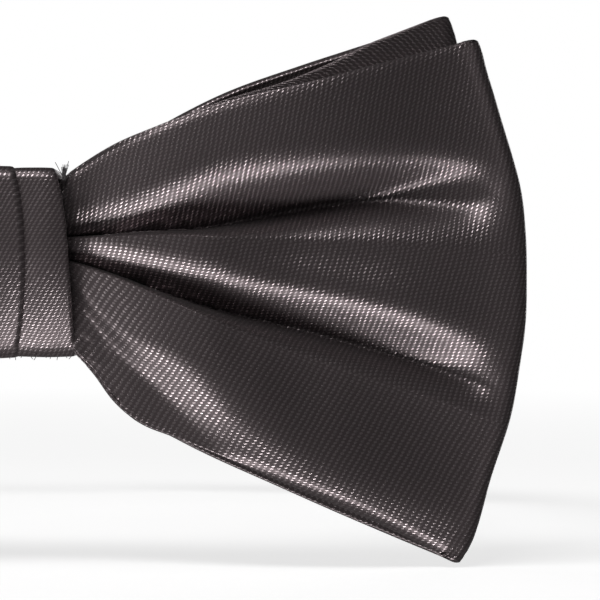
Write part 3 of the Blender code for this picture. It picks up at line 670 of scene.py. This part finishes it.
def makeBow(bow, name):
    right, left, row = bowSurface(bow)
    places, seams = clothPlaces(bow, right, row)
    middle = np.concatenate([right, left], 0)
    mirrored = slice(-2, 0, -1)
    cloth = np.concatenate([places, places[mirrored] * [-1, 1]], 0) * mm
    jumps = [(index, np.concatenate([at, at[mirrored] * [-1, 1]], 0) * mm) for index, at in seams]
    # the cloth is pressed thin at the four corners of the tip folds
    fromTip = through(bow["tip"])(middle[..., 2]) - np.abs(middle[..., 0])
    fromRim = np.minimum(middle[..., 2] - middle[:, :1, 2], middle[:, -1:, 2] - middle[..., 2])
    thin = 1 - smooth((4.0 - fromTip) / 1.5) * smooth((1.3 - fromRim) / 0.6)
    made = thickSheet(name, middle, cloth, leaf, bowSatin, True, jumps, bow["outside"], thin)
    sharpRows = {index for index, _ in seams}
    wide = len(made.data.vertices) // len(middle)
    crisp = made.data.attributes.new("sharp_edge", "BOOLEAN", "EDGE")
    rowsOf = np.array([(a % wide, b % wide) for a, b in (e.vertices for e in made.data.edges)])
    same = (rowsOf[:, 0] == rowsOf[:, 1]) & np.isin(rowsOf[:, 0], list(sharpRows))
    crisp.data.foreach_set("value", same)
    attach(made, "bow")
    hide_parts(bow["node"])


makeBow(frontBow, "frontBow")
print("front bow made")
makeBow(backBow, "backBow")
print("back bow made")


# the stiffening inside each bow

stiff = {
    "inset": 1.6,  # mm in from the bow's edges
    "wave": 0.12,
    "reach": 0.95,  # share of the way to the tips
    "squeeze": 0.97,
    "fill": 0.72,  # share of its box that the cut cloth covers
}


def makeStiffening(bow, node, name):
    low, high = [Vector(c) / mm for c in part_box(node)]
    y = (low.y + high.y) / 2
    inset = stiff["inset"]
    row = [(0, 0.0, inset)] + [(0, 0.0, inset + e) for e in (0.08, 0.2)]
    row += [(k, t, 0.0) for k in range(3) for t in (0.12, 0.3, 0.5, 0.7, 0.9)]
    row += [(2, 1.0, -inset - e) for e in (0.2, 0.08, 0.0)]
    columns = []
    for share in np.linspace(-stiff["reach"], stiff["reach"], 61):
        x, z, *_ = leafPoint(bow, abs(share), row, False)
        wave = np.array([noise.noise((a * 0.2, b * 0.2, 4.0)) for a, b in zip(x, z)])
        out = min(abs(share) * 3, 1)
        side = math.copysign(1, share)
        columns.append(np.stack([side * x, y + wave * stiff["wave"] * out, z * stiff["squeeze"]], 1))
    middle = np.array(columns)
    cloth = middle[:, :, (0, 2)] * mm
    made = thickSheet(name, middle, cloth, high.y - low.y, stiffening, False)
    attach(made, "bow")
    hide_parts(node)


makeStiffening(frontBow, "front_bow_interlining", "frontStiffening")
makeStiffening(backBow, "back_bow_interlining", "backStiffening")
print("stiffening made")


# the knot

knot = {
    "thickness": 1.0,
    "crown": 1.7,  # mm that the front stands out past the CAD's flat front
    "crownFall": (2.3, 0.4),  # below and above the crown
    "crownAt": 2.5,  # mm above the middle
    "panelRise": 0.6,
    "panelCrown": 0.30,
    "sideSwell": 0.35,
    "foot": 0.2,  # the fold's undercut
    "pull": 0.22,
    "width": 20.5,  # mm of the strip across the front
    "edge": [(-10.4, 10.1), (-6.0, 9.95), (0.0, 9.6), (5.0, 9.2), (8.0, 8.7), (10.4, 8.0)],
    "foldLine": [(-10.4, 3.3), (-6.0, 4.1), (0.0, 4.5), (5.0, 4.3), (8.0, 3.9), (10.4, 3.3)],
    "corner": 2.2,  # mm, at the back
    "frontCorners": (1.0, 0.5),  # mm, below and above
}


def knotPath(steps=150):
    # round the knot in (y, z), starting at the middle of its back and going down and forward
    half = knot["thickness"] / 2
    back, front = knotHigh.y - half, knotLow.y + half
    top = knotHigh.z - half
    r = knot["corner"]
    halves = []
    for rFront in knot["frontCorners"]:
        outline = [(back, 0.0), (back, -top + r)]
        for turn in np.linspace(0, math.pi / 2, 9)[1:]:
            outline.append((back - r * (1 - math.cos(turn)), -top + r * (1 - math.sin(turn))))
        for turn in np.linspace(0, math.pi / 2, 9):
            outline.append((front + rFront * (1 - math.sin(turn)), -top + rFront * (1 - math.cos(turn))))
        outline += [(front, -z) for z in np.linspace(top - rFront, 0, 14)[1:]]
        halves.append(np.array(outline))
    full = np.concatenate([halves[0], (halves[1] * [1, -1])[-2:0:-1]], 0)
    loop = np.concatenate([full, full[:1]], 0)
    length = np.concatenate([[0], np.cumsum(np.linalg.norm(np.diff(loop, axis=0), axis=1))])
    at = np.linspace(0, length[-1], steps + 1)[:-1]
    points = np.stack([np.interp(at, length, loop[:, 0]), np.interp(at, length, loop[:, 1])], 1)
    forward = smooth((back - 3.0 - points[:, 0]) / 6.0)
    fall = np.where(points[:, 1] < knot["crownAt"], *knot["crownFall"])
    bulge = knot["crown"] - fall * ((points[:, 1] - knot["crownAt"]) / top) ** 2
    points[:, 0] -= forward * bulge
    return points, at, forward


def makeKnot():
    path, at, forward = knotPath()
    tangent = np.roll(path, -1, 0) - np.roll(path, 1, 0)
    tangent /= np.linalg.norm(tangent, axis=1, keepdims=True)
    outwards = np.stack([-tangent[:, 1], tangent[:, 0]], 1)
    if (outwards * (path - path.mean(0))).sum() < 0:
        outwards = -outwards
    edge, foldLine = through(knot["edge"])(path[:, 1]), through(knot["foldLine"])(path[:, 1])
    side = [*edgeRows, 0.5]
    foldRows = np.array([0.4, 0.28, 0.2, 0.13, 0.06, 0.0, -0.06, -0.13, -0.2, -0.3, -0.42, -0.6])
    columns = []
    for i in range(len(path)):
        e, f = edge[i], foldLine[i]
        inner = np.concatenate([e - np.array(side), np.linspace(e - 0.7, f + 0.55, 12),
                                f + foldRows, np.linspace(f - 0.8, 0.25, 9)])
        x = np.concatenate([inner, [0.0], -inner[::-1]])
        step = smooth((f + 0.12 - np.abs(x)) / 0.36) * knot["panelRise"]
        foot = np.exp(-((np.abs(x) - f - 0.18) / 0.09) ** 2) * knot["foot"]
        swell = knot["sideSwell"] * np.clip(1 - ((np.abs(x) - (e + f) / 2) / ((e - f) / 2)) ** 2, 0, 1)
        panel = knot["panelCrown"] * np.clip(1 - (x / f) ** 2, 0, 1)
        pull = np.array([noise.noise((a * 0.35, path[i, 1] * 0.12, 11.0)) for a in x]) * knot["pull"]
        rise = (step - foot + swell + panel + pull) * forward[i] * (0.2 + 0.8 * abs(outwards[i, 0]) ** 1.5)
        y = path[i, 0] + outwards[i, 0] * rise
        z = path[i, 1] + outwards[i, 1] * rise
        columns.append(np.stack([x, y, z], 1))
    middle = np.array(columns)
    across = middle[:, :, 0]
    along = np.repeat(at[:, None], middle.shape[1], 1)
    cloth = np.stack([across, along], 2) * mm
    made = thickSheet("knot", middle, cloth, knot["thickness"], knotSatin, True)
    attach(made, "bow")
    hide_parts("knot_wrap")
    girth = (at[-1] + at[1]) * mm


makeKnot()
print("knot made")


# the neckband

bandLow, bandHigh = [Vector(c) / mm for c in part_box("neckband_front")]
joints = {j["name"]: j for j in frame["joints"]}
neckCentre = Vector(joints["slider_travel"]["pos_m"]) / mm
band = {
    "height": bandHigh.z - bandLow.z,
    "thickness": 1.0,
    "halfWidth": 60.0,
    "frontDepth": 64.0,
    "soft": 0.4,
    "flatTo": -2.0,  # mm; the band lies flat along the bow's back up to here
    "lapEnd": 15.0,  # mm back from a bar at which a turned end lies flat on the band
    "lapOffset": -1.25,
    "bendFrom": 15.0,  # mm before and after the hinge
    "bendTo": 21.0,
    "slideFromHook": 39.3,
    "barOffset": -2.5,  # of the slide's middle bar
}


def neckCurve():
    turn = np.linspace(0, math.pi, 2400)
    depth = np.where(turn < math.pi / 2, band["frontDepth"], band["halfWidth"])
    x = band["halfWidth"] * np.sin(turn)
    y = neckCentre.y - depth * np.cos(turn)
    y = (y + band["flatTo"] + np.hypot(y - band["flatTo"], band["soft"])) / 2
    length = np.concatenate([[0], np.cumsum(np.hypot(np.diff(x), np.diff(y)))])
    return length, x, y


neckLength, neckX, neckY = neckCurve()


def neckAt(distance, offset, side):
    # a point on the band's path, offset away from the neck, with side 1 or -1
    x = np.interp(distance, neckLength, neckX)
    y = np.interp(distance, neckLength, neckY)
    dx = np.interp(distance + 0.5, neckLength, neckX) - np.interp(distance - 0.5, neckLength, neckX)
    dy = np.interp(distance + 0.5, neckLength, neckY) - np.interp(distance - 0.5, neckLength, neckY)
    size = np.hypot(dx, dy)
    return np.stack([side * (x + dy / size * offset), y - dx / size * offset], -1)


def pathPoints(distance, offset, side):
    return neckAt(np.array(distance, float), np.array(offset, float), side)


def ribbon(name, path, material):
    # a woven band standing on edge along a level path, with rolled edges
    step = np.linalg.norm(np.diff(path, axis=0), axis=1)
    length = np.concatenate([[0], np.cumsum(step)])
    count = int(length[-1] / 1.1)
    at = np.concatenate([[0, 0.1, 0.25, 0.5], np.linspace(0.9, length[-1] - 0.9, count),
                         length[-1] - np.array([0.5, 0.25, 0.1, 0])])
    half = band["height"] / 2
    edge = np.array([0.0, 0.06, 0.16, 0.3, 0.5])
    rows = np.concatenate([-half + edge, np.linspace(-half + 1.0, half - 1.0, 15), half - edge[::-1]])
    x, y = np.interp(at, length, path[:, 0]), np.interp(at, length, path[:, 1])
    middle = np.stack([np.repeat(x[:, None], len(rows), 1), np.repeat(y[:, None], len(rows), 1),
                       np.repeat(rows[None], len(at), 0)], 2)
    cloth = np.stack([np.repeat(at[:, None], len(rows), 1), middle[:, :, 2]], 2) * mm
    return thickSheet(name, middle, cloth, band["thickness"], material, False), length[-1] * mm


halfLength = neckLength[-1]
wrap = 0.4 + 0.3 + 0.5  # half the bar, the gap and half the band
hookBar = Vector(joints["hook_pivot"]["pos_m"]) / mm
eyeBar = Vector(joints["eye_pivot"]["pos_m"]) / mm


def barDistance(bar):
    away = math.atan2(abs(bar.x), bar.y - neckCentre.y)
    return halfLength - away * band["halfWidth"]


def turnRound(distance, side, steps=10):
    # half a turn round a bar, from the outer side of the band to its neck side
    start = pathPoints([distance], [0.0], side)[0]
    end = pathPoints([distance], [-2 * wrap], side)[0]
    ahead = pathPoints([distance + 1.0], [-wrap], side)[0] - pathPoints([distance], [-wrap], side)[0]
    ahead /= np.linalg.norm(ahead)
    centre, out = (start + end) / 2, (start - end) / 2
    turn = np.linspace(0, math.pi, steps + 1)[1:]
    return centre + np.outer(np.cos(turn), out) + np.outer(np.sin(turn), ahead) * wrap


def eased(start, end, first, last, count):
    share = np.linspace(0, 1, count)
    return np.linspace(start, end, count), first + (last - first) * smooth(share)


pivot = Vector(joints["long_band_swing"]["pos_m"]) / mm
pivotAt = float(np.interp(pivot.x, neckX[:1200], neckLength[:1200]))


def makeNeckband():
    hookAt, eyeAt = barDistance(hookBar), barDistance(eyeBar)
    right = np.concatenate([
        pathPoints(np.linspace(0.3, hookAt, 190), np.zeros(190), 1),
        turnRound(hookAt, 1),
        pathPoints(*eased(hookAt - 0.4, hookAt - 3.4, -2 * wrap, -2 * wrap, 8), 1)], 0)
    longBand, length = ribbon("longBand", right, bandSatin)
    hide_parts("neckband_long", "neckband_front")
    bend = pathPoints([pivotAt - band["bendFrom"], pivotAt + band["bendTo"]], [0, 0], 1)
    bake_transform(longBand)
    left = np.concatenate([
        pathPoints(np.linspace(0.3, eyeAt, 190), np.zeros(190), -1),
        turnRound(eyeAt, -1),
        pathPoints(*eased(eyeAt - 0.4, eyeAt - band["lapEnd"], -2 * wrap, band["lapOffset"], 16), -1)], 0)
    shortBand, length = ribbon("shortBand", left, bandSatin)
    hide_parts("neckband_short")
    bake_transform(shortBand)
    return hookAt, eyeAt


hookAt, eyeAt = makeNeckband()
print("neckband made")


def makeTail():
    # from the hook along the band's inside, round the slide's middle bar and a little way back
    sliderAt = hookAt - band["slideFromHook"]
    lapEnd, lapOffset, barOffset = hookAt - band["lapEnd"], band["lapOffset"], band["barOffset"]
    inner = barOffset - wrap
    path = np.concatenate([
        pathPoints(*eased(hookAt - 3.0, lapEnd, -2 * wrap, lapOffset, 14), 1),
        pathPoints(*eased(lapEnd - 0.6, sliderAt + 12.0, lapOffset, lapOffset, 16), 1),
        pathPoints(*eased(sliderAt + 11.4, sliderAt, lapOffset, inner, 14), 1)], 0)
    start = pathPoints([sliderAt], [inner], 1)[0]
    end = pathPoints([sliderAt], [barOffset + wrap], 1)[0]
    behind = pathPoints([sliderAt - 1.0], [barOffset], 1)[0] - pathPoints([sliderAt], [barOffset], 1)[0]
    behind /= np.linalg.norm(behind)
    centre, out = (start + end) / 2, (start - end) / 2
    turns = np.linspace(0, math.pi, 11)[1:]
    loop = centre + np.outer(np.cos(turns), out) + np.outer(np.sin(turns), behind) * wrap
    back = pathPoints(*eased(sliderAt + 0.4, sliderAt + 3.0, barOffset + wrap, barOffset + wrap, 5), 1)
    tail, length = ribbon("bandTail", np.concatenate([path, loop, back], 0), bandSatin)
    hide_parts("neckband_tail")
    ends = pathPoints([hookAt - 4.0, sliderAt + 7.0], [-1.3, -1.3], 1)
    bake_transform(tail)
    return sliderAt


sliderAt = makeTail()


# threads

sewing = {
    "tackRadius": 0.16,
    "tackWidth": 1.6,
    "tackStitches": 20,
    "seamRadius": 0.17,
    "seamStitches": 13,
    "seamHalf": 6.6,  # mm above and below the knot's middle
    "frayRadius": 0.035,
    "tuft": (8.9, 9.4),  # x and z of the cut ends
    "tuftEnds": 22,
    "looseEnds": 26,
}


def threadCurve(name, runs, radius, material):
    data = bpy.data.curves.new(name, "CURVE")
    data.dimensions = "3D"
    data.bevel_depth = radius * mm
    data.bevel_resolution = 2
    data.use_fill_caps = True
    for run in runs:
        spline = data.splines.new("NURBS")
        spline.points.add(len(run) - 1)
        for slot, point in zip(spline.points, run):
            slot.co = (*(Vector(point) * mm), 1.0)
        spline.use_endpoint_u = True
        spline.order_u = 3
        spline.resolution_u = 3
    return newObject(name, data, material)


def tack(name, node, body, distance, offset, side):
    # zigzag machine stitches up the band, sunk into its face
    width, stitches = sewing["tackWidth"], sewing["tackStitches"]
    half = band["height"] / 2 - 0.9
    outward = 1 if offset > 0 else -1
    points = []
    for i in range(stitches + 1):
        along = distance + (width / 2 if i % 2 else -width / 2)
        x, y = pathPoints([along], [offset], side)[0]
        z = -half + 2 * half * i / stitches
        points.append((x, y, z))
        if i < stitches:
            x, y = pathPoints([distance], [offset + outward * 0.1], side)[0]
            points.append((x, y, z + half / stitches))
    made = threadCurve(name, [points], sewing["tackRadius"], sewingThread)
    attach(made, body)
    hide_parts(node)


tack("shortBandTack", "short_band_tack", "short_band", eyeAt - 11.0, 0.52, -1)
tack("sliderBarTack", "slider_bar_tack", "slide", sliderAt + 4.0, band["barOffset"] - wrap - 0.50, 1)


def makeKnotSeam():
    # hand stitches that close the wrap down the knot's back
    y = knotHigh.y + 0.06
    points = []
    count, half = sewing["seamStitches"], sewing["seamHalf"]
    for i in range(count + 1):
        side = 0.9 if i % 2 else -0.9
        z = half - 2 * half * i / count
        points.append((side + 0.15 * math.sin(i * 2.3), y, z + 0.12 * math.sin(i * 1.7)))
        if i < count:
            points.append((0.0, y + 0.12, z - half / count))
    made = threadCurve("knotSeam", [points], sewing["seamRadius"], sewingThread)
    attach(made, "bow")
    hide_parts("knot_seam_thread")


makeKnotSeam()


def makeFray():
    # the little tuft of cut ends at the top of the knot's right edge, and loose fibres below the knot
    runs = []
    root = Vector((sewing["tuft"][0], knotLow.y + 1.6, sewing["tuft"][1]))
    for i in range(sewing["tuftEnds"]):
        long = i % 7 == 3
        sideways = math.sin(i * 5.1) if long else 0.02 * (i - 8)
        rise = 0.9 + 0.13 * (i % 5) + (0.5 if long else 0.0)
        lean = Vector((0.16 * math.sin(i * 2.4) + sideways, -0.1, rise))
        mid = root + lean * 0.5 + Vector((0.05 * math.sin(i * 2.1), 0, 0))
        runs.append([tuple(root + Vector((0.018 * (i - 11), 0, -0.3))), tuple(mid), tuple(root + lean)])
    for i in range(sewing["looseEnds"]):
        x = -9.6 + 19.4 * i / (sewing["looseEnds"] - 1)
        start = Vector((x, knotLow.y + 1.6 + 0.3 * math.sin(i), -knotHigh.z + 0.15))
        lean = Vector((0.35 * math.sin(i * 3.7), -0.1, -0.28 - 0.12 * (i % 3)))
        runs.append([tuple(start), tuple(start + lean * 0.6), tuple(start + lean)])
    made = threadCurve("frayedEnds", runs, sewing["frayRadius"], sewingThread)
    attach(made, "bow")


makeFray()
print("threads made")


# metal pieces and the hidden binding

for node in ("hook", "eye", "size_slider"):
    for slot in bpy.data.objects[node].material_slots:
        slot.material = nickel
for slot in bpy.data.objects["waist_binding_thread"].material_slots:
    slot.material = sewingThread


# floor, lights and camera

studio = {
    "floorZ": cadBox[0].z / mm - 0.25,
    "floorSize": 3000.0,
    "centre": (34.9, -8.0, -4.1),  # the middle of the view, mm
    "distance": 370.0,
    "frame": 66.7,  # mm across the view at the bow
    "paper": ((0.50, 0.50, 0.50, 1.0), (0.56, 0.56, 0.56, 1.0)),
    "paperGlow": 0.72,
    "surround": 0.04,
    "target": (0.02, 0.0, -0.004),
    # place, size and watts of each soft light
    "lights": {
        "lowFront": ((-0.06, -0.33, -0.55), (0.9, 0.16), 3.4),
        "left": ((-0.58, -0.32, -0.06), (0.4, 0.4), 0.4),
        "lowLeft": ((-0.44, -0.24, -0.40), (0.3, 0.3), 0.6),
        "highLeft": ((-0.18, -0.32, 0.50), (0.6, 0.2), 2.4),
        "backLeft": ((-0.80, 0.60, 0.20), (0.5, 0.5), 2.4),
        "backRight": ((0.30, 0.95, 0.05), (0.5, 0.5), 1.2),
    },
}


def makeFloor():
    # a pale sweep that fades into the white surround well away from the object
    paint = Paint("floorPaper", Roughness=0.85)
    place = paint.position()
    x, y, _ = paint.parts(place)
    fibre = paint.noise(place, 900.0, 3.0)
    paint.put(Base_Color=paint.mix(fibre, *studio["paper"]))
    paint.shader.inputs["Emission Color"].default_value = (1.0, 1.0, 1.0, 1.0)
    paint.shader.inputs["Emission Strength"].default_value = studio["paperGlow"]
    far = (((x * x + y * y) ** 0.5 - 0.25) / 0.5).clamped()
    glow = paint.node("ShaderNodeEmission", {}, {"Color": (1, 1, 1, 1), "Strength": 1.0})
    out = paint.tree.nodes["Material Output"]
    both = paint.node("ShaderNodeMixShader", {}, {0: far, 1: Wire(paint, paint.shader.outputs[0]), 2: glow})
    paint.tree.links.new(both.socket, out.inputs[0])
    size = studio["floorSize"] * mm
    z = studio["floorZ"] * mm
    mesh = bpy.data.meshes.new("floor")
    corners = [(-size, -size, z), (size, -size, z), (size, size, z), (-size, size, z)]
    mesh.from_pydata(corners, [], [(0, 1, 2, 3)])
    made = newObject("floor", mesh, paint.material)
    made.visible_shadow = False
    made.visible_glossy = False
    made.visible_diffuse = False


def areaLight(name, place, size, power):
    data = bpy.data.lights.new(name, "AREA")
    data.shape = "RECTANGLE"
    data.size, data.size_y = size
    data.energy = power
    made = bpy.data.objects.new(name, data)
    bpy.context.scene.collection.objects.link(made)
    made.location = place
    made.rotation_euler = (Vector(studio["target"]) - Vector(place)).to_track_quat("-Z", "Y").to_euler()
    made.visible_camera = False


def makeStudio():
    makeFloor()
    for name, (place, size, power) in studio["lights"].items():
        areaLight(name, place, size, power)
    world = bpy.data.worlds.new("surround")
    bpy.context.scene.world = world
    world.use_nodes = True
    tree = world.node_tree
    dim = tree.nodes["Background"]
    dim.inputs[0].default_value = (*[studio["surround"]] * 3, 1)
    white = tree.nodes.new("ShaderNodeBackground")
    white.inputs[0].default_value = (1, 1, 1, 1)
    seen = tree.nodes.new("ShaderNodeLightPath")
    pick = tree.nodes.new("ShaderNodeMixShader")
    tree.links.new(seen.outputs["Is Camera Ray"], pick.inputs[0])
    tree.links.new(dim.outputs[0], pick.inputs[1])
    tree.links.new(white.outputs[0], pick.inputs[2])
    tree.links.new(pick.outputs[0], tree.nodes["World Output"].inputs[0])
    data = bpy.data.cameras.new("camera")
    data.sensor_width = 36.0
    data.lens = data.sensor_width * studio["distance"] / studio["frame"]
    data.clip_start, data.clip_end = 0.01, 20.0
    camera = bpy.data.objects.new("camera", data)
    bpy.context.scene.collection.objects.link(camera)
    x, y, z = studio["centre"]
    camera.location = (x * mm, (y - studio["distance"]) * mm, z * mm)
    camera.rotation_euler = (math.pi / 2, 0.0, 0.0)
    bpy.context.scene.camera = camera
    bpy.context.scene.view_settings.view_transform = "Standard"


makeStudio()
print("studio made")
